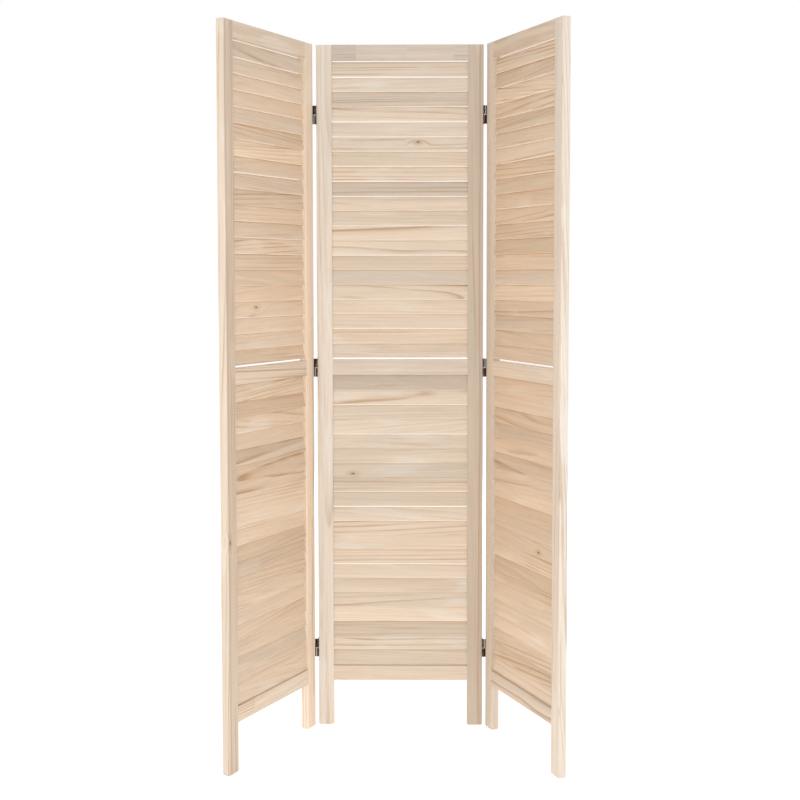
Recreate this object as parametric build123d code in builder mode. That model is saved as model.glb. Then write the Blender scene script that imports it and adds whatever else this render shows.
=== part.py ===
from build123d import *
from math import cos, radians, sin
import os

# Folding screen: three louvred wooden panels joined by two-way hinges, standing with both
# wings swung forward. The origin is on the floor under the middle of the standing screen,
# with the front towards -Y. A panel frame has X to the right and Y to the back as seen
# from the front, Z up, and its origin at the foot of the panel's left edge, mid thickness.

# Panels
panel_width = 412.0
panel_height = 1700.0
panel_thick = 20.0
stile_width = 38.0
rail_height = 37.0
leg_height = 115.0
mid_rail_low = 889.0
edge_ease = 1.2
foot_chamfer = 3.5

# Rail tenons and their mortises
tenon_length = 24.0
tenon_thick = 8.0
tenon_height = 27.0
tenon_clearance = 0.1
mortise_end_gap = 1.0

# Louvre slats and their housings in the stiles
slats_per_bank = 20
slat_width = 37.5
slat_thick = 5.0
slat_tilt = 10.0
slat_gap_low = 3.0
slat_gap_top = 3.0
housing_depth = 6.0
housing_clearance = 0.15
slat_end_gap = 0.5

# Two-way hinges, three in each gap between panels
hinge_height = 45.0
bottom_hinge = 199.0
mid_hinge_rise = 17.0
top_hinge_drop = 171.0
sheet = 1.2
pin_radius = 1.2
pin_clearance = 0.05
pin_stand_off = 3.0
pin_end = 0.4
knuckle_gap = 0.6
knuckle_notch = 0.5
roll_angle = 260.0
leaf_width = 20.0

# How far each wing is swung forward from flat, in degrees
left_fold = 66.0
right_fold = 69.0

# Worked out for the panels
opening_width = panel_width - 2 * stile_width
rail_levels = (leg_height, mid_rail_low, panel_height - rail_height)
lower_opening = mid_rail_low - leg_height - rail_height
upper_opening = panel_height - mid_rail_low - 2 * rail_height
slat_rise = slat_width * cos(radians(slat_tilt)) + slat_thick * sin(radians(slat_tilt))
slat_entry = housing_depth - slat_end_gap

# Worked out for the hinges. Across the gap lie the centre leaf, the link and the wing leaf,
# and each knuckle is the sheet rolled round its pin, so the gap is set by the two barrels.
knuckle_radius = pin_radius + pin_clearance + sheet
roll_radius = knuckle_radius - sheet / 2
panel_gap = 4 * knuckle_radius - sheet
mid_hinge = mid_rail_low + mid_hinge_rise
top_hinge = panel_height - top_hinge_drop
pin_reach = panel_thick / 2 + pin_stand_off
front_pin = (knuckle_radius, -pin_reach)
back_pin = (panel_gap - knuckle_radius, pin_reach)
link_line = 2 * knuckle_radius - sheet / 2


def swing_reach(fold):
    """How far the wing's outer end lies beyond and in front of its front pin."""
    turn = radians(fold)
    along = panel_gap + panel_width - knuckle_radius
    outward = along * cos(turn) + (pin_stand_off + panel_thick) * sin(turn)
    forward = along * sin(turn) - pin_stand_off * cos(turn)
    return outward, forward


left_outward, left_forward = swing_reach(left_fold)
right_outward, right_forward = swing_reach(right_fold)
centre_x = (left_outward - right_outward) / 2
centre_y = (pin_reach + max(left_forward, right_forward) - panel_thick / 2) / 2


def hinge_frame(side):
    """Gap frame on the centre panel's edge: X across the gap, Y to the back."""
    edge = (centre_x + side * panel_width / 2, centre_y, 0)
    return Plane(origin=edge, x_dir=(side, 0, 0), z_dir=(0, 0, side))


def swung_frame(side, fold):
    """The same gap frame once the wing is turned forward about the front pins."""
    axis = Location((front_pin[0], front_pin[1], 0))
    turn = Rotation(0, 0, -fold)
    return Plane(hinge_frame(side).location * axis * turn * axis.inverse())


left_swung = swung_frame(-1, left_fold)
right_swung = swung_frame(1, right_fold)

centre_frame = Plane(
    origin=(centre_x - panel_width / 2, centre_y, 0), x_dir=(1, 0, 0), z_dir=(0, 0, 1)
)
left_frame = Plane(
    origin=left_swung.from_local_coords((panel_gap + panel_width, 0, 0)),
    x_dir=-left_swung.x_dir,
    z_dir=(0, 0, 1),
)
right_frame = Plane(
    origin=right_swung.from_local_coords((panel_gap, 0, 0)),
    x_dir=right_swung.x_dir,
    z_dir=(0, 0, 1),
)


def cross_plane(frame, x):
    """Upright plane across a panel at x: its X runs to the back and its Y up."""
    origin = frame.from_local_coords((x, 0, 0))
    return Plane(origin=origin, x_dir=frame.y_dir, z_dir=frame.x_dir)


def slat_places(low, opening):
    """Middle of each slat of a bank, as (to the back, up)."""
    first = low + slat_gap_low + slat_rise / 2
    pitch = (opening - slat_gap_low - slat_gap_top - slat_rise) / (slats_per_bank - 1)
    return [(0, first + i * pitch) for i in range(slats_per_bank)]


lower_slats = slat_places(leg_height + rail_height, lower_opening)
upper_slats = slat_places(mid_rail_low + rail_height, upper_opening)
rail_places = [(0, low + rail_height / 2) for low in rail_levels]


def save(piece, name):
    piece.part.label = name
    export_step(piece.part, f"parts/{name}.step")


def make_stile(name, frame, left_edge, slats_on_right):
    """Full-height upright whose lower end is the foot."""
    inner_edge = left_edge + (stile_width if slats_on_right else 0)
    inward = -1 if slats_on_right else 1
    with BuildPart() as stile:
        with BuildSketch(frame):
            with Locations((left_edge + stile_width / 2, 0)):
                Rectangle(stile_width, panel_thick)
        extrude(amount=panel_height)
        chamfer(stile.faces().sort_by(Axis.Z)[0].edges(), foot_chamfer)
        uprights = stile.edges().filter_by(Axis.Z).sort_by(Axis(frame.origin, frame.x_dir))
        chamfer(uprights[:2] if slats_on_right else uprights[-2:], edge_ease)
        # Slanted housings, one for each slat end
        with BuildSketch(cross_plane(frame, inner_edge)):
            with Locations(*lower_slats, *upper_slats):
                Rectangle(
                    slat_thick + 2 * housing_clearance,
                    slat_width + 2 * housing_clearance,
                    rotation=-slat_tilt,
                )
        extrude(amount=inward * housing_depth, mode=Mode.SUBTRACT)
        # Mortises for the three rails
        with BuildSketch(cross_plane(frame, inner_edge)):
            with Locations(*rail_places):
                Rectangle(tenon_thick + 2 * tenon_clearance, tenon_height + 2 * tenon_clearance)
        extrude(amount=inward * (tenon_length + mortise_end_gap), mode=Mode.SUBTRACT)
    save(stile, name)


def make_rail(name, frame, place):
    """Crosspiece flush with the stiles, with a tenon at each end."""
    with BuildPart() as rail:
        with BuildSketch(cross_plane(frame, stile_width)):
            with Locations(place):
                Rectangle(panel_thick, rail_height)
        extrude(amount=opening_width)
        with BuildSketch(cross_plane(frame, stile_width - tenon_length)):
            with Locations(place):
                Rectangle(tenon_thick, tenon_height)
        extrude(amount=opening_width + 2 * tenon_length)
    save(rail, name)


def make_slats(name, frame, places):
    """A bank of louvre slats, each with its top edge towards the back."""
    with BuildPart() as bank:
        with BuildSketch(cross_plane(frame, stile_width - slat_entry)):
            with Locations(*places):
                Rectangle(slat_thick, slat_width, rotation=-slat_tilt)
        extrude(amount=opening_width + 2 * slat_entry)
    save(bank, name)


def make_panel(name, frame, left_stile, right_stile):
    make_stile(f"{name}_{left_stile}_stile", frame, 0, True)
    make_stile(f"{name}_{right_stile}_stile", frame, panel_width - stile_width, False)
    for rail, place in zip(("bottom", "mid", "top"), rail_places):
        make_rail(f"{name}_{rail}_rail", frame, place)
    make_slats(f"{name}_lower_slats", frame, lower_slats)
    make_slats(f"{name}_upper_slats", frame, upper_slats)


def cut_knuckle_notch(frame, middle, pin, half):
    """Clears one half of a barrel for the knuckle of the other plate."""
    reach = knuckle_radius + knuckle_notch
    with BuildSketch(frame.offset(middle - half * knuckle_gap / 2)) as notch:
        with Locations(pin):
            Rectangle(2 * reach, 2 * reach)
    depth = half * (hinge_height / 2 + knuckle_gap)
    extrude(notch.sketch, amount=depth, mode=Mode.SUBTRACT)


def make_leaf(name, frame, middle, on_wing):
    """Hinge leaf lying on a stile's edge and rolled round its pin."""
    pin = back_pin if on_wing else front_pin
    along = panel_gap - sheet / 2 if on_wing else sheet / 2
    far_end = pin[1] - leaf_width if on_wing else pin[1] + leaf_width
    with BuildPart() as leaf:
        with BuildSketch(frame.offset(middle - hinge_height / 2)):
            with BuildLine():
                Line((along, far_end), (along, pin[1]))
                CenterArc(pin, roll_radius, 0 if on_wing else 180, roll_angle)
            trace(line_width=sheet)
        extrude(amount=hinge_height)
        cut_knuckle_notch(frame, middle, pin, 1 if on_wing else -1)
    save(leaf, name)


def make_link(name, frame, middle):
    """Link plate rolled one way round the front pin and the other way round the back pin."""
    with BuildPart() as link:
        with BuildSketch(frame.offset(middle - hinge_height / 2)):
            with BuildLine():
                CenterArc(front_pin, roll_radius, 0, -roll_angle)
                Line((link_line, front_pin[1]), (link_line, back_pin[1]))
                CenterArc(back_pin, roll_radius, 180, -roll_angle)
            trace(line_width=sheet)
        extrude(amount=hinge_height)
        cut_knuckle_notch(frame, middle, front_pin, 1)
        cut_knuckle_notch(frame, middle, back_pin, -1)
    save(link, name)


def make_pin(name, frame, middle, pin):
    with BuildPart() as rod:
        with BuildSketch(frame.offset(middle)):
            with Locations(pin):
                Circle(pin_radius)
        extrude(amount=hinge_height / 2 + pin_end, both=True)
    save(rod, name)


def make_hinge(name, side, level, swung):
    """Two-way hinge: the link carries the wing leaf, and both turn about the front pin."""
    still = hinge_frame(side)
    middle = side * level
    make_leaf(f"{name}_centre_leaf", still, middle, False)
    make_pin(f"{name}_front_pin", still, middle, front_pin)
    make_link(f"{name}_link", swung, middle)
    make_pin(f"{name}_back_pin", swung, middle, back_pin)
    make_leaf(f"{name}_wing_leaf", swung, middle, True)


os.makedirs("parts", exist_ok=True)

make_panel("left_wing", left_frame, "outer", "inner")
make_panel("centre", centre_frame, "left", "right")
make_panel("right_wing", right_frame, "inner", "outer")

for height, level in (("bottom", bottom_hinge), ("mid", mid_hinge), ("top", top_hinge)):
    make_hinge(f"left_{height}_hinge", -1, level, left_swung)
    make_hinge(f"right_{height}_hinge", 1, level, right_swung)
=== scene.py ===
import math
import random

import bpy
import numpy as np
from mathutils import Matrix, Vector


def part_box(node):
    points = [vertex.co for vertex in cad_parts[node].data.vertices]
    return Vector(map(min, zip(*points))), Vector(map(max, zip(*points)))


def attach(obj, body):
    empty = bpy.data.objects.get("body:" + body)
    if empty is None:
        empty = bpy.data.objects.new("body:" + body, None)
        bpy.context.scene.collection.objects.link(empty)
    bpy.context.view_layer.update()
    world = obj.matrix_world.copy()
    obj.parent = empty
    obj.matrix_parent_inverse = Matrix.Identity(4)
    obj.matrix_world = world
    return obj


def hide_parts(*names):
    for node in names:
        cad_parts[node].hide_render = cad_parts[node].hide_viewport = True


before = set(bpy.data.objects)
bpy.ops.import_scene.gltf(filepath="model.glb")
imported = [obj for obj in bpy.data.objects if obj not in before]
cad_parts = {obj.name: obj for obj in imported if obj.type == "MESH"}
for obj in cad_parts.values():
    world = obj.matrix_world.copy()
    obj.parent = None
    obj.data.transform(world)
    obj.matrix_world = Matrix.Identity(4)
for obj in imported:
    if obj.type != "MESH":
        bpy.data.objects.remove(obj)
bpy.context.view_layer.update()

# Sizes of the screen, in metres, as its solids have them. A panel frame has X to the right
# and Y to the back as seen from the front, Z up, from the foot of the panel's left edge.
PANEL_WIDTH = 0.412
PANEL_HEIGHT = 1.7
PANEL_THICK = 0.020
STILE_WIDTH = 0.038
RAIL_HEIGHT = 0.037
RAIL_LEVELS = {"bottom": 0.115, "mid": 0.889, "top": 1.663}
SLATS_PER_BANK = 20
SLAT_WIDTH = 0.0375
SLAT_THICK = 0.005
SLAT_TILT = math.radians(10)
SLAT_ENTRY = 0.0055
SLAT_GAP_LOW = 0.003
SLAT_GAP_TOP = 0.003
HINGE_LEVELS = {"bottom": 0.199, "mid": 0.906, "top": 1.529}
PIN_ACROSS = 0.00245
PIN_REACH = 0.013
PANEL_GAP = 0.0086
LEAF_SHEET = 0.0012
LEAF_MIDDLE = 0.0115
SCREW_RADIUS = 0.0023
SCREW_DEPTH = 0.0009
SCREW_PROUD = 0.00015
SCREW_SPREAD = 0.026
SCREW_SLOT = (0.0009, 0.0008, 0.0028)
LEFT_FOLD = math.radians(66)
RIGHT_FOLD = math.radians(69)

# Foot chamfer, and the rounding of the arrises
FOOT_CHAMFER = 0.0035
OUTER_ROUNDING = 0.0020
INNER_ROUNDING = 0.0005
SLAT_ROUNDING = 0.0012
SCREW_ROUNDING = 0.00012

# Width of the opening between a panel's stiles
OPENING = PANEL_WIDTH - 2 * STILE_WIDTH

# How far apart two places may lie and still count as one
HAIR = 1e-5


def panel_places():
    """Where each panel's frame stands: the centre one, and the wings swung about their pins."""
    low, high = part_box("centre_left_stile")
    left_edge, middle = low.x, (low.y + high.y) / 2
    centre = Matrix.Translation((left_edge, middle, 0))
    left_pin = Vector((left_edge - PIN_ACROSS, middle - PIN_REACH, 0))
    right_pin = Vector((left_edge + PANEL_WIDTH + PIN_ACROSS, middle - PIN_REACH, 0))
    left_flat = Matrix.Translation((left_edge - PANEL_GAP - PANEL_WIDTH, middle, 0))
    right_flat = Matrix.Translation((left_edge + PANEL_WIDTH + PANEL_GAP, middle, 0))

    def swing(pin, angle):
        return Matrix.Translation(pin) @ Matrix.Rotation(angle, 4, "Z") @ Matrix.Translation(-pin)

    return {
        "left_wing": swing(left_pin, LEFT_FOLD) @ left_flat,
        "centre": centre,
        "right_wing": swing(right_pin, -RIGHT_FOLD) @ right_flat,
    }


PLACES = panel_places()
BODIES = {"left_wing": "left_wing", "centre": "centre_panel", "right_wing": "right_wing"}


def choose_none():
    bpy.ops.object.select_all(action="DESELECT")


def make_active(piece):
    choose_none()
    piece.select_set(True)
    bpy.context.view_layer.objects.active = piece


def add_block(name, low, high):
    """A block between two corners. Its place is in its mesh, and its origin stays at zero."""
    choose_none()
    low, high = Vector(low), Vector(high)
    bpy.ops.mesh.primitive_cube_add(size=1, location=(low + high) / 2, scale=high - low)
    bpy.ops.object.transform_apply(location=True, rotation=True, scale=True)
    block = bpy.context.object
    block.name = name
    return block


def ease_edges(piece, wanted, width, rounds=2):
    """Bevels the edges for which wanted(end, other end) is true."""
    make_active(piece)
    bpy.ops.object.mode_set(mode="EDIT")
    bpy.ops.mesh.select_mode(type="EDGE")
    bpy.ops.mesh.select_all(action="DESELECT")
    bpy.ops.object.mode_set(mode="OBJECT")
    corners = piece.data.vertices
    for edge in piece.data.edges:
        a, b = (corners[i].co for i in edge.vertices)
        edge.select = wanted(a, b)
    bpy.ops.object.mode_set(mode="EDIT")
    bpy.ops.mesh.bevel(offset=width, segments=rounds, affect="EDGES")
    bpy.ops.object.mode_set(mode="OBJECT")


def join_pieces(pieces, name):
    """Makes one piece of a list of pieces."""
    choose_none()
    for piece in pieces:
        piece.select_set(True)
    bpy.context.view_layer.objects.active = pieces[0]
    if len(pieces) > 1:
        bpy.ops.object.join()
    joined = bpy.context.object
    joined.name = name
    return joined


def soften(piece, angle=35):
    """Smooth shading where faces meet at less than the angle, in degrees."""
    make_active(piece)
    bpy.ops.object.shade_smooth_by_angle(angle=math.radians(angle))


# Places of a knot and of a vein that lie off every board
NO_KNOT = (5.0, 5.0)
NO_VEIN = 5.0

# Where boards are sawn from: how far from the pith and how far along the log, in metres, and
# how much the grain slopes, as standard deviations in degrees
OFF_PITH = (0.045, 0.150)
LOG_LENGTH = 40
GRAIN_SLOPE_FLAT = 2.2
GRAIN_SLOPE_STEEP = 1.3

PALE_WOOD = (0.74, 0.672, 0.585)
KNOT_HEART = (0.16, 0.075, 0.035)
VEIN_WOOD = (0.46, 0.235, 0.135)
TIMBER_IOR = 1.45
# Painted light: the bright band half-way up each hinge
PAINTED_HINGE_LIGHT = (0.62, 0.52, 0.43)

# A Mix node's sockets for colours, which share their names with those for numbers
MIX_FIRST, MIX_SECOND, MIX_RESULT = 6, 7, 2


def share_of(values, value):
    """Where a value lies between the lowest and the highest of its kind, from -1 to 1."""
    low, high = min(values), max(values)
    return (2 * value - low - high) / (high - low)


def saw_from_log(
    piece, chance, along, across, spread=1.0, look=(0, 0), knot=NO_KNOT, varied=1.0, vein=NO_VEIN
):
    """Gives each board its own place in a log, so that the rings run through it in their own way.
    along and across are the board's directions of length and width. spread is how much its grain
    may slope, look how light and how warm its kind is, and varied how far it may differ from
    that. knot is the place of a knot's middle along and across, from the board's middle, and vein
    how far across a reddish vein runs, from -1 to 1."""
    along, across = Vector(along), Vector(across)
    through = along.cross(across)
    corners = piece.data.vertices
    middle = sum((v.co for v in corners), Vector()) / len(corners)
    off_pith = chance.uniform(*OFF_PITH)
    roll = chance.uniform(-math.pi, math.pi)
    turn = (
        Matrix.Rotation(roll, 3, "X")
        @ Matrix.Rotation(math.radians(chance.gauss(0, GRAIN_SLOPE_FLAT) * spread), 3, "Z")
        @ Matrix.Rotation(math.radians(chance.gauss(0, GRAIN_SLOPE_STEEP) * spread), 3, "Y")
    )
    start = Vector((chance.uniform(0, LOG_LENGTH), off_pith, 0))
    heart = Vector((*knot, 0))
    log_places, knot_places, faces = [], [], []
    widths = [v.co.dot(across) for v in corners]
    depths = [v.co.dot(through) for v in corners]
    for v in corners:
        local = v.co - middle
        board = Vector((local.dot(along), local.dot(across), local.dot(through)))
        log_places += list(turn @ board + start)
        knot_places += list(board - heart)
        faces += [share_of(widths, v.co.dot(across)), share_of(depths, v.co.dot(through)), vein]
    tone, warmth = chance.gauss(look[0], varied), chance.gauss(look[1], 0.6 * varied)
    rings = chance.random()
    for name, values in (
        ("log_place", log_places),
        ("knot_place", knot_places),
        ("board_face", faces),
        ("board_look", [tone, warmth, rings] * len(corners)),
    ):
        layer = piece.data.attributes.new(name, "FLOAT_VECTOR", "POINT")
        layer.data.foreach_set("vector", np.array(values, np.float32))


class Bench:
    """Adds and joins nodes in one node tree."""

    def __init__(self, tree):
        self.tree = tree

    def node(self, kind, **settings):
        made = self.tree.nodes.new(kind)
        for key, value in settings.items():
            setattr(made, key, value)
        return made

    def join(self, source, target):
        self.tree.links.new(source, target)

    def put(self, socket, value):
        if isinstance(value, bpy.types.NodeSocket):
            self.join(value, socket)
        else:
            socket.default_value = value

    def math(self, operation, first, second=0.0, clamp=False):
        made = self.node("ShaderNodeMath", operation=operation, use_clamp=clamp)
        self.put(made.inputs[0], first)
        self.put(made.inputs[1], second)
        return made.outputs[0]

    def ramp(self, value, low, high, start=0.0, end=1.0, smooth=True):
        made = self.node("ShaderNodeMapRange")
        made.interpolation_type = "SMOOTHSTEP" if smooth else "LINEAR"
        for socket, given in zip(made.inputs, (value, low, high, start, end)):
            self.put(socket, given)
        return made.outputs[0]

    def noise(self, vector, stretch, detail=2.0, rough=0.5):
        scaled = self.node("ShaderNodeVectorMath", operation="MULTIPLY")
        self.put(scaled.inputs[0], vector)
        scaled.inputs[1].default_value = stretch
        made = self.node("ShaderNodeTexNoise")
        made.inputs["Scale"].default_value = 1.0
        made.inputs["Detail"].default_value = detail
        made.inputs["Roughness"].default_value = rough
        self.join(scaled.outputs[0], made.inputs["Vector"])
        return made

    def blend(self, share, first, second, kind="MIX"):
        made = self.node("ShaderNodeMix", data_type="RGBA", blend_type=kind)
        self.put(made.inputs["Factor"], share)
        self.put(made.inputs[MIX_FIRST], first)
        self.put(made.inputs[MIX_SECOND], second)
        return made.outputs[MIX_RESULT]

    def split(self, vector):
        made = self.node("ShaderNodeSeparateXYZ")
        self.join(vector, made.inputs[0])
        return tuple(made.outputs)

    def attribute(self, name):
        return self.node("ShaderNodeAttribute", attribute_name=name).outputs["Vector"]

    def emboss(self, height, strength, distance, shader):
        made = self.node("ShaderNodeBump")
        made.inputs["Strength"].default_value = strength
        made.inputs["Distance"].default_value = distance
        self.join(height, made.inputs["Height"])
        self.join(made.outputs["Normal"], shader.inputs["Normal"])


def timber_group():
    """Growth rings, fibres and streaks of one pale softwood-like timber, in log coordinates."""
    tree = bpy.data.node_groups.new("timber", "ShaderNodeTree")
    face = tree.interface
    for name, way, kind in (
        ("Log Place", "INPUT", "NodeSocketVector"),
        ("Knot Place", "INPUT", "NodeSocketVector"),
        ("Early Wood", "INPUT", "NodeSocketColor"),
        ("Late Wood", "INPUT", "NodeSocketColor"),
        ("Pale Wood", "INPUT", "NodeSocketColor"),
        ("Ring Width", "INPUT", "NodeSocketFloat"),
        ("Ring Strength", "INPUT", "NodeSocketFloat"),
        ("Streaks", "INPUT", "NodeSocketFloat"),
        ("Color", "OUTPUT", "NodeSocketColor"),
        ("Roughness", "OUTPUT", "NodeSocketFloat"),
        ("Height", "OUTPUT", "NodeSocketFloat"),
    ):
        face.new_socket(name, in_out=way, socket_type=kind)
    b = Bench(tree)
    given = b.node("NodeGroupInput").outputs
    place = given["Log Place"]

    # A knot: distance from its heart, drawn out along the board
    flat = b.node("ShaderNodeVectorMath", operation="MULTIPLY")
    b.join(given["Knot Place"], flat.inputs[0])
    flat.inputs[1].default_value = (0.42, 1, 0)
    length = b.node("ShaderNodeVectorMath", operation="LENGTH")
    b.join(flat.outputs[0], length.inputs[0])
    rough = b.noise(place, (220, 420, 420), 3.0, 0.6).outputs["Fac"]
    ragged = b.ramp(rough, 0.2, 0.8, -0.0009, 0.0009)
    from_knot = b.math("ADD", length.outputs["Value"], ragged)
    heart = b.ramp(from_knot, 0.0012, 0.0030, 1.0, 0.0)
    halo = b.ramp(from_knot, 0.002, 0.012, 1.0, 0.0)
    push = b.ramp(from_knot, 0.0, 0.017, 0.010, 0.0)

    # Rings: distance from the pith, made uneven by slow waves along the log and round the knot
    wave = b.noise(place, (1.9, 9, 9), 2.5, 0.5)
    shift = b.node("ShaderNodeVectorMath", operation="MULTIPLY_ADD")
    b.join(wave.outputs["Color"], shift.inputs[0])
    shift.inputs[1].default_value = (0, 0.013, 0.013)
    b.join(place, shift.inputs[2])
    _, y, z = b.split(shift.outputs[0])
    squares = b.math("ADD", b.math("POWER", y, 2.0), b.math("POWER", z, 2.0))
    away = b.math("ADD", b.math("SQRT", squares), push)
    turns = b.math("DIVIDE", away, given["Ring Width"])
    jitter = b.node("ShaderNodeTexNoise", noise_dimensions="1D")
    b.join(b.math("MULTIPLY", turns, 0.31), jitter.inputs["W"])
    jitter.inputs["Scale"].default_value = 1.0
    uneven = b.math("MULTIPLY", jitter.outputs["Fac"], 2.6)
    phase = b.math("FRACT", b.math("ADD", turns, uneven))
    rise = b.ramp(phase, 0.15, 0.90)
    fall = b.ramp(phase, 0.92, 1.0)
    soft_band = b.math("MULTIPLY", b.math("POWER", rise, 1.6), 0.34)
    thin_line = b.math("MULTIPLY", b.math("POWER", rise, 9.0), 0.66)
    late = b.math("SUBTRACT", b.math("ADD", soft_band, thin_line), fall, clamp=True)

    # Fibres, tone changes, brown streaks and paler clouds
    fibre = b.noise(place, (16, 1100, 1100), 3.0, 0.6).outputs["Fac"]
    soft = b.noise(place, (3.5, 150, 150), 2.0, 0.5).outputs["Fac"]
    broad = b.noise(place, (1.8, 26, 26), 2.0, 0.5).outputs["Fac"]
    streak = b.ramp(b.noise(place, (1.3, 75, 75), 3.0, 0.6).outputs["Fac"], 0.60, 0.74)
    clouds = b.noise(place, (5.0, 24, 24), 2.0, 0.45).outputs["Fac"]
    patchy = b.noise(place, (2.4, 38, 38), 2.0, 0.5).outputs["Fac"]
    uneven_strength = b.ramp(patchy, 0.36, 0.66, 0.15, 1.5)
    strength = b.math("MULTIPLY", given["Ring Strength"], uneven_strength)
    mask = b.math("MULTIPLY", late, strength, clamp=True)

    color = b.blend(mask, given["Early Wood"], given["Late Wood"])
    color = b.blend(b.math("MULTIPLY", streak, given["Streaks"]), color, given["Late Wood"])
    color = b.blend(b.ramp(clouds, 0.58, 0.68, 0.0, 0.55), color, given["Pale Wood"])
    color = b.blend(b.math("MULTIPLY", halo, 0.45), color, given["Late Wood"])
    color = b.blend(b.math("MULTIPLY", heart, 0.85), color, (*KNOT_HEART, 1))
    fine_lift = b.ramp(fibre, 0.25, 0.75, 0.94, 1.05)
    lift = b.math("ADD", fine_lift, b.ramp(soft, 0.25, 0.75, -0.045, 0.045))
    lift = b.math("ADD", lift, b.ramp(broad, 0.25, 0.75, -0.03, 0.03))
    color = b.blend(1.0, color, lift, "MULTIPLY")

    out = b.node("NodeGroupOutput")
    b.join(color, out.inputs["Color"])
    b.join(b.ramp(fibre, 0.2, 0.8, 0.50, 0.68), out.inputs["Roughness"])
    ridge = b.math("MULTIPLY", late, 0.5)
    b.join(b.math("ADD", ridge, b.math("MULTIPLY", fibre, 0.6)), out.inputs["Height"])
    return tree


def timber_material(
    name,
    early,
    late,
    ring_width,
    ring_strength,
    streaks,
    tone_spread,
    warm_spread,
    low_edge_highlight,
    lap_shade,
):
    """Bare planed timber. Boards differ a little in tone and in warmth. low_edge_highlight is how
    much paler a board's lower arris is painted, as a painted highlight, and lap_shade how much
    darker the strip is painted where the next board laps it, as painted shade."""
    made = bpy.data.materials.new(name)
    made.use_nodes = True
    b = Bench(made.node_tree)
    shader = made.node_tree.nodes["Principled BSDF"]
    log_place = b.attribute("log_place")
    light_trait, warm_trait, ring_trait = b.split(b.attribute("board_look"))
    across, through, vein_place = b.split(b.attribute("board_face"))

    wood = b.node("ShaderNodeGroup", node_tree=TIMBER)
    ring_share = b.math("POWER", ring_trait, 1.6)
    faint, strong = ring_strength * 0.25, ring_strength * 1.75
    for socket, value in (
        ("Log Place", log_place),
        ("Knot Place", b.attribute("knot_place")),
        ("Early Wood", (*early, 1)),
        ("Late Wood", (*late, 1)),
        ("Pale Wood", (*PALE_WOOD, 1)),
        ("Ring Width", ring_width),
        ("Ring Strength", b.ramp(ring_share, 0.0, 1.0, faint, strong, False)),
        ("Streaks", streaks),
    ):
        b.put(wood.inputs[socket], value)

    # Each board's own tone and warmth
    tone = b.math("MULTIPLY_ADD", light_trait, tone_spread)
    tone.node.inputs[2].default_value = 1.0
    warm = b.math("MULTIPLY", warm_trait, warm_spread)
    tint = b.node("ShaderNodeCombineColor")
    b.join(tone, tint.inputs["Red"])
    b.join(b.math("SUBTRACT", tone, b.math("MULTIPLY", warm, 0.5)), tint.inputs["Green"])
    b.join(b.math("SUBTRACT", tone, warm), tint.inputs["Blue"])
    color = b.blend(1.0, wood.outputs["Color"], tint.outputs["Color"], "MULTIPLY")

    # The vein wavers along the board's two faces
    on_face = b.math("GREATER_THAN", b.math("ABSOLUTE", through), 0.97)
    waves = b.noise(log_place, (3.0, 20, 20), 2.0, 0.5).outputs["Fac"]
    waver = b.ramp(waves, 0.2, 0.8, -0.14, 0.14, False)
    off_vein = b.math("ABSOLUTE", b.math("ADD", b.math("SUBTRACT", across, vein_place), waver))
    vein = b.math("MULTIPLY", on_face, b.ramp(off_vein, 0.03, 0.15, 0.50, 0.0))
    color = b.blend(vein, color, (*VEIN_WOOD, 1))

    # Painted shade darkens the boards where the next one laps them, and a painted
    # highlight makes them paler along the lower arris
    near_edge = b.math("MULTIPLY", across, b.math("SIGN", through))
    # Painted shade: the strip under the next board's edge is darker
    painted_lap_shade = b.math("MULTIPLY", on_face, b.ramp(near_edge, 0.88, 0.94, 0.0, lap_shade))
    # Painted highlight: the lower arris is painted paler, as if lit
    pale = b.ramp(across, -0.985, -0.945, 1.0 + low_edge_highlight, 1.0)
    color = b.blend(1.0, color, b.math("SUBTRACT", pale, painted_lap_shade), "MULTIPLY")

    b.join(color, shader.inputs["Base Color"])
    b.join(wood.outputs["Roughness"], shader.inputs["Roughness"])
    b.emboss(wood.outputs["Height"], 0.25, 0.0004, shader)
    shader.inputs["IOR"].default_value = TIMBER_IOR
    return made


def bronze_material(name, dark, worn):
    """Dark antique bronze with rubbed lighter patches, and a painted band of light half-way up each
    hinge.
    """
    made = bpy.data.materials.new(name)
    made.use_nodes = True
    b = Bench(made.node_tree)
    shader = made.node_tree.nodes["Principled BSDF"]
    spot = b.node("ShaderNodeTexCoord").outputs["Object"]
    patches = b.noise(spot, (170, 170, 90), 4.0, 0.6).outputs["Fac"]
    grains = b.noise(spot, (1500, 1500, 1500), 2.0, 0.6).outputs["Fac"]
    color = b.blend(b.ramp(patches, 0.42, 0.70), (*dark, 1), (*worn, 1))
    # A painted band of light half-way up each hinge, where the knuckles meet
    height = b.split(spot)[2]
    for level in HINGE_LEVELS.values():
        off_middle = b.math("ABSOLUTE", b.math("SUBTRACT", height, level))
        color = b.blend(b.ramp(off_middle, 0.0006, 0.0016, 0.9, 0.0), color, (*PAINTED_HINGE_LIGHT, 1))
    b.join(color, shader.inputs["Base Color"])
    b.join(b.ramp(patches, 0.3, 0.7, 0.48, 0.30), shader.inputs["Roughness"])
    b.emboss(grains, 0.2, 0.0001, shader)
    shader.inputs["Metallic"].default_value = 0.85
    return made


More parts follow.
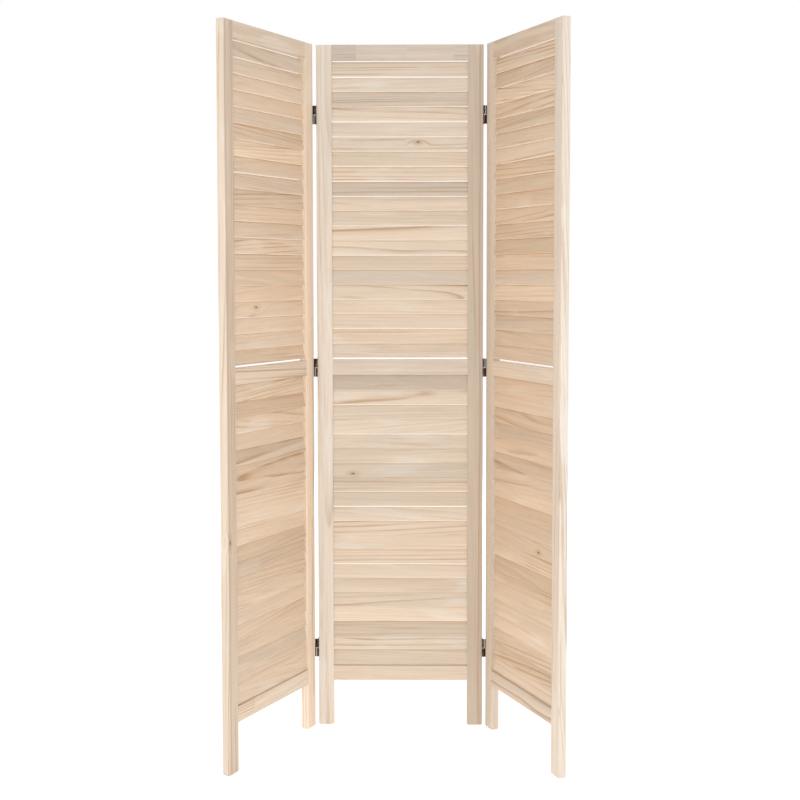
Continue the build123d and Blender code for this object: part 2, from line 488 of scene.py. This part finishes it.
TIMBER = timber_group()
SLAT_WOOD = timber_material(
    "slat timber",
    early=(0.708, 0.597, 0.480),
    late=(0.49, 0.335, 0.205),
    ring_width=0.0080,
    ring_strength=0.56,
    streaks=0.40,
    tone_spread=0.058,
    warm_spread=0.05,
    low_edge_highlight=0.36,
    lap_shade=0.30,
)
FRAME_WOOD = timber_material(
    "frame timber",
    early=(0.708, 0.608, 0.504),
    late=(0.49, 0.355, 0.24),
    ring_width=0.0060,
    ring_strength=0.50,
    streaks=0.55,
    tone_spread=0.045,
    warm_spread=0.05,
    low_edge_highlight=0.09,
    lap_shade=0.0,
)
HINGE_BRONZE = bronze_material("hinge bronze", (0.060, 0.038, 0.028), (0.16, 0.105, 0.075))
PIN_BRONZE = bronze_material("pin bronze", (0.075, 0.052, 0.040), (0.20, 0.14, 0.10))
SCREW_BRONZE = bronze_material("screw bronze", (0.085, 0.058, 0.042), (0.24, 0.17, 0.12))

# How light and how warm each stile is beside the others
STILE_LOOKS = {
    "left_wing_outer_stile": (-2.4, 1.3),
    "left_wing_inner_stile": (3.2, 2.0),
    "centre_left_stile": (1.0, -1.2),
    "centre_right_stile": (-5.0, 1.4),
    "right_wing_inner_stile": (-2.1, 1.0),
    "right_wing_outer_stile": (1.6, -0.8),
}

# Stiles with a knot, by the place of its middle along and across, and stiles with a vein
STILE_KNOTS = {
    "left_wing_outer_stile": (-0.60, -0.006),
    "right_wing_outer_stile": (0.61, 0.012),
}
STILE_VEINS = {"left_wing_outer_stile": -0.66, "centre_right_stile": 0.55}

# How light and how warm each rail is beside the others
RAIL_LOOKS = {
    "left_wing": {"bottom": (0.5, 1.4), "mid": (1.2, 1.4), "top": (0.0, 1.4)},
    "centre": {"bottom": (-0.4, 1.6), "mid": (-1.9, 0.4), "top": (-4.2, 0.2)},
    "right_wing": {"bottom": (-1.0, 1.8), "mid": (0.4, 1.6), "top": (-1.0, 1.8)},
}

# Where a rail is glued up from short lengths, as shares of the opening
RAIL_JOINTS = {"centre_top": (0.18, 0.55, 0.90), "left_wing_bottom": (0.22,)}


def stand_on(piece, panel, node):
    """Moves a finished piece from its panel's frame to its real place, and hands it to its body."""
    piece.data.transform(PLACES[panel])
    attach(piece, BODIES[panel])
    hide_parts(node)


def build_stile(panel, side, chance):
    """Upright with eased arrises and a chamfered foot."""
    node = f"{panel}_{side}_stile"
    on_left = side == "left" or (panel, side) in (("left_wing", "outer"), ("right_wing", "inner"))
    start = 0 if on_left else PANEL_WIDTH - STILE_WIDTH
    half = PANEL_THICK / 2
    end = start + STILE_WIDTH
    outer = start if on_left else end
    inner = end if on_left else start
    stile = add_block(node + "_timber", (start, -half, 0), (end, half, PANEL_HEIGHT))

    def upright_at(x):
        return lambda a, b: abs(a.z - b.z) > 1 and max(abs(a.x - x), abs(b.x - x)) < HAIR

    ease_edges(stile, lambda a, b: max(a.z, b.z) < HAIR, FOOT_CHAMFER, 1)
    ease_edges(stile, upright_at(outer), OUTER_ROUNDING, 4)
    ease_edges(stile, upright_at(inner), INNER_ROUNDING)
    ease_edges(stile, lambda a, b: min(a.z, b.z) > PANEL_HEIGHT - HAIR, INNER_ROUNDING)
    saw_from_log(
        stile,
        chance,
        along=(0, 0, 1),
        across=(1, 0, 0),
        spread=0.35,
        look=STILE_LOOKS[node],
        knot=STILE_KNOTS.get(node, NO_KNOT),
        varied=0.3,
        vein=STILE_VEINS.get(node, NO_VEIN),
    )
    stile.data.materials.append(FRAME_WOOD)
    soften(stile)
    stand_on(stile, panel, node)


def build_rail(panel, level, chance):
    """Crosspiece between the stiles. Two of them are glued up from lengths end to end."""
    node = f"{panel}_{level}_rail"
    low = RAIL_LEVELS[level]
    high = low + RAIL_HEIGHT
    half = PANEL_THICK / 2
    joints = RAIL_JOINTS.get(f"{panel}_{level}", ())
    ends = [STILE_WIDTH + share * OPENING for share in (0, *joints, 1)]
    lengths = []
    for i, (left, right) in enumerate(zip(ends, ends[1:])):
        length = add_block(f"{node}_length_{i}", (left, -half, low), (right, half, high))
        ease_edges(length, lambda a, b: abs(a.x - b.x) > HAIR, INNER_ROUNDING)
        saw_from_log(
            length,
            chance,
            along=(1, 0, 0),
            across=(0, 0, 1),
            spread=0.7,
            look=RAIL_LOOKS[panel][level],
            varied=0.6,
        )
        lengths.append(length)
    rail = join_pieces(lengths, node + "_timber")
    rail.data.materials.append(FRAME_WOOD)
    soften(rail)
    stand_on(rail, panel, node)


# How light and how warm each panel's slats are beside the others. The wings' slats are warmer
# as painted bounce light, for the warm light the panels throw on one another.
SLAT_LOOKS = {"left_wing": (0.0, 2.0), "centre": (0.0, 0.0), "right_wing": (-0.4, 2.8)}

# Slats with a knot: panel, bank, number from below, place of its middle along and across
SLAT_KNOTS = {
    ("centre", "upper", 14): (0.045, 0.006),
    ("centre", "lower", 13): (-0.118, -0.010),
    ("left_wing", "upper", 3): (-0.060, 0.004),
    ("right_wing", "lower", 9): (0.085, -0.008),
}

# What is planed off the slats' top edges
WING_CUTS = (0.0, 0.0002, 0.0004, 0.0007, 0.0011)
CENTRE_CUTS = (0.0004, 0.0009, 0.0013, 0.0018, 0.0024)
TOP_CUTS = {"left_wing": WING_CUTS, "centre": CENTRE_CUTS, "right_wing": WING_CUTS}

# What is planed off the bottom edge of each bank's lowest slat, and off the top edge of the
# lower bank's highest one. Below zero, the slat is wider by so much instead.
EDGE_CUTS = {"lower": -0.0018, "upper": 0.0016}
HIGHEST_LOWER_CUT = -0.0014

# How far slats differ from one another in what is planed off, in tilt (degrees) and in height
CUT_SPREAD = 0.0002
TILT_SPREAD = 0.8
LIFT_SPREAD = 0.0005


def slat_levels(low, opening):
    """Heights of the middles of a bank's slats, from below."""
    rise = SLAT_WIDTH * math.cos(SLAT_TILT) + SLAT_THICK * math.sin(SLAT_TILT)
    pitch = (opening - SLAT_GAP_LOW - SLAT_GAP_TOP - rise) / (SLATS_PER_BANK - 1)
    return [low + SLAT_GAP_LOW + rise / 2 + i * pitch for i in range(SLATS_PER_BANK)]


def build_slat():
    """One louvre slat, lying across the opening at the origin, with rounded arrises."""
    half_length = OPENING / 2 + SLAT_ENTRY
    slat = add_block(
        "slat",
        (-half_length, -SLAT_THICK / 2, -SLAT_WIDTH / 2),
        (half_length, SLAT_THICK / 2, SLAT_WIDTH / 2),
    )
    ease_edges(slat, lambda a, b: abs(a.x - b.x) > HAIR, SLAT_ROUNDING, 3)
    soften(slat)
    return slat


def plane_edges(slat, top, bottom):
    """Planes a slat's top and bottom edges. Where much comes off, a slit of light shows."""
    for v in slat.data.vertices:
        v.co.z += -top if v.co.z > 0 else bottom


def build_bank(panel, bank, slat, chance):
    """Twenty slats one above the other, each from its own board and set a touch differently."""
    node = f"{panel}_{bank}_slats"
    low_rail, high_rail = ("bottom", "mid") if bank == "lower" else ("mid", "top")
    low = RAIL_LEVELS[low_rail] + RAIL_HEIGHT
    slats = []
    for number, level in enumerate(slat_levels(low, RAIL_LEVELS[high_rail] - low)):
        copy = slat.copy()
        copy.data = slat.data.copy()
        bpy.context.scene.collection.objects.link(copy)
        saw_from_log(
            copy,
            chance,
            along=(1, 0, 0),
            across=(0, 0, 1),
            look=SLAT_LOOKS[panel],
            knot=SLAT_KNOTS.get((panel, bank, number), NO_KNOT),
        )
        top = chance.choice(TOP_CUTS[panel]) + chance.uniform(-CUT_SPREAD, CUT_SPREAD)
        if bank == "lower" and number == SLATS_PER_BANK - 1:
            top = HIGHEST_LOWER_CUT
        plane_edges(copy, top, EDGE_CUTS[bank] if number == 0 else 0)
        tilt = SLAT_TILT + math.radians(chance.uniform(-TILT_SPREAD, TILT_SPREAD))
        lift = chance.uniform(-LIFT_SPREAD, LIFT_SPREAD)
        place = Matrix.Translation((PANEL_WIDTH / 2, 0, level + lift))
        copy.data.transform(place @ Matrix.Rotation(-tilt, 4, "X"))
        slats.append(copy)
    made = join_pieces(slats, node + "_timber")
    made.data.materials.append(SLAT_WOOD)
    stand_on(made, panel, node)


def build_panels():
    slat = build_slat()
    panels = (
        ("left_wing", ("outer", "inner"), 31),
        ("centre", ("left", "right"), 32),
        ("right_wing", ("inner", "outer"), 33),
    )
    for panel, sides, seed in panels:
        chance = random.Random(seed)
        for side in sides:
            build_stile(panel, side, chance)
        for level in RAIL_LEVELS:
            build_rail(panel, level, chance)
        for bank in ("lower", "upper"):
            build_bank(panel, bank, slat, chance)
    bpy.data.objects.remove(slat)


def finish_hinges():
    """The hinges' own solids take the bronze."""
    for name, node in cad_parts.items():
        if "_hinge_" in name:
            metal = PIN_BRONZE if name.endswith("_pin") else HINGE_BRONZE
            node.data.materials.clear()
            node.data.materials.append(metal)


def build_screw_head():
    """Countersunk cross-slot head, flush at the origin and facing -X."""
    choose_none()
    bpy.ops.mesh.primitive_cylinder_add(
        vertices=20, radius=SCREW_RADIUS, depth=SCREW_DEPTH, rotation=(0, math.radians(90), 0)
    )
    bpy.ops.object.transform_apply(location=True, rotation=True, scale=True)
    head = bpy.context.object
    head.name = "screw_head"
    outside = -SCREW_DEPTH / 2
    ease_edges(head, lambda a, b: max(a.x, b.x) < outside + HAIR, SCREW_ROUNDING)
    # Cross slot: two crossed bars cut into the head
    deep, narrow, wide = SCREW_SLOT
    for size in (Vector((deep, narrow, wide)), Vector((deep, wide, narrow))):
        bar = add_block("bar", -size / 2, size / 2)
        bar.data.transform(Matrix.Translation((outside, 0, 0)))
        cut = head.modifiers.new("slot", "BOOLEAN")
        cut.operation = "DIFFERENCE"
        cut.solver = "EXACT"
        cut.object = bar
        make_active(head)
        bpy.ops.object.modifier_apply(modifier=cut.name)
        bpy.data.objects.remove(bar)
    head.data.transform(Matrix.Translation((SCREW_DEPTH / 2 - SCREW_PROUD, 0, 0)))
    soften(head, 40)
    head.data.materials.append(SCREW_BRONZE)
    return head


def build_screws():
    """Two screws through each hinge leaf into the stile behind it."""
    head = build_screw_head()
    edges = (
        ("left", "left_wing", PANEL_WIDTH, 1),
        ("left", "centre", 0.0, -1),
        ("right", "centre", PANEL_WIDTH, 1),
        ("right", "right_wing", 0.0, -1),
    )
    chance = random.Random(7)
    for gap, panel, edge, outward in edges:
        on_wing = panel != "centre"
        depth = PIN_REACH - LEAF_MIDDLE if on_wing else LEAF_MIDDLE - PIN_REACH
        face = edge + outward * LEAF_SHEET
        heads = []
        for level in HINGE_LEVELS.values():
            for step in (-1, 1):
                copy = head.copy()
                copy.data = head.data.copy()
                bpy.context.scene.collection.objects.link(copy)
                place = Matrix.Translation((face, depth, level + step * SCREW_SPREAD / 2))
                turn = Matrix.Rotation(0 if outward < 0 else math.pi, 4, "Z")
                twist = Matrix.Rotation(chance.uniform(0, math.pi), 4, "X")
                copy.data.transform(place @ turn @ twist)
                heads.append(copy)
        screws = join_pieces(heads, f"{gap}_hinge_{'wing' if on_wing else 'centre'}_screws")
        screws.data.transform(PLACES[panel])
        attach(screws, BODIES[panel])
    bpy.data.objects.remove(head)


def light(name, place, aim, size, power):
    """A white softbox at a place, turned towards another."""
    data = bpy.data.lights.new(name, "AREA")
    data.shape = "RECTANGLE"
    data.size, data.size_y = size
    data.energy = power
    lamp = bpy.data.objects.new(name, data)
    bpy.context.scene.collection.objects.link(lamp)
    lamp.location = place
    lamp.rotation_mode = "QUATERNION"
    lamp.rotation_quaternion = (Vector(place) - Vector(aim)).to_track_quat("Z", "Y")


def build_studio():
    """White backdrop, brighter to the camera than as a light, a white floor and four softboxes."""
    world = bpy.data.worlds.new("studio")
    bpy.context.scene.world = world
    world.use_nodes = True
    b = Bench(world.node_tree)
    sky = world.node_tree.nodes["Background"]
    sky.inputs["Color"].default_value = (1, 1, 1, 1)
    seen = b.node("ShaderNodeLightPath").outputs["Is Camera Ray"]
    b.join(b.ramp(seen, 0.0, 1.0, 0.68, 1.0, False), sky.inputs["Strength"])

    choose_none()
    bpy.ops.mesh.primitive_plane_add(size=60, location=(0, 0, 0))
    floor = bpy.context.object
    floor.name = "floor"
    paint = bpy.data.materials.new("studio floor")
    paint.use_nodes = True
    shader = paint.node_tree.nodes["Principled BSDF"]
    shader.inputs["Base Color"].default_value = (0.93, 0.93, 0.93, 1)
    shader.inputs["Roughness"].default_value = 0.9
    shader.inputs["Emission Color"].default_value = (1, 1, 1, 1)
    shader.inputs["Emission Strength"].default_value = 0.42
    floor.data.materials.append(paint)

    light("front_softbox", (-0.3, -4.6, 1.5), (0, 0.1, 0.85), (3.0, 2.4), 47)
    light("left_softbox", (-3.4, -2.6, 1.5), (0, 0, 0.85), (2.2, 2.4), 24)
    light("right_softbox", (3.4, -2.6, 1.5), (0, 0, 0.85), (2.2, 2.4), 26)
    light("back_softbox", (0.8, 4.4, 1.7), (0, 0, 0.85), (3.0, 2.4), 34)


def build_camera():
    """The photograph's view: eye height 1.14 m, looking slightly down and to the left."""
    data = bpy.data.cameras.new("camera")
    camera = bpy.data.objects.new("camera", data)
    bpy.context.scene.collection.objects.link(camera)
    bpy.context.scene.camera = camera
    data.sensor_width = 36
    data.lens = 64.98
    data.shift_y = -0.0375
    data.clip_end = 100
    yaw, pitch, roll = (math.radians(a) for a in (0.797, 3.79, -0.065))
    camera.location = (0.0596, -3.4005, 1.1375)
    camera.rotation_mode = "QUATERNION"
    turn = (
        Matrix.Rotation(yaw, 3, "Z")
        @ Matrix.Rotation(math.pi / 2 - pitch, 3, "X")
        @ Matrix.Rotation(roll, 3, "Z")
    )
    camera.rotation_quaternion = turn.to_quaternion()


bpy.context.scene.view_settings.view_transform = "Standard"
build_panels()
finish_hinges()
build_screws()
build_studio()
build_camera()
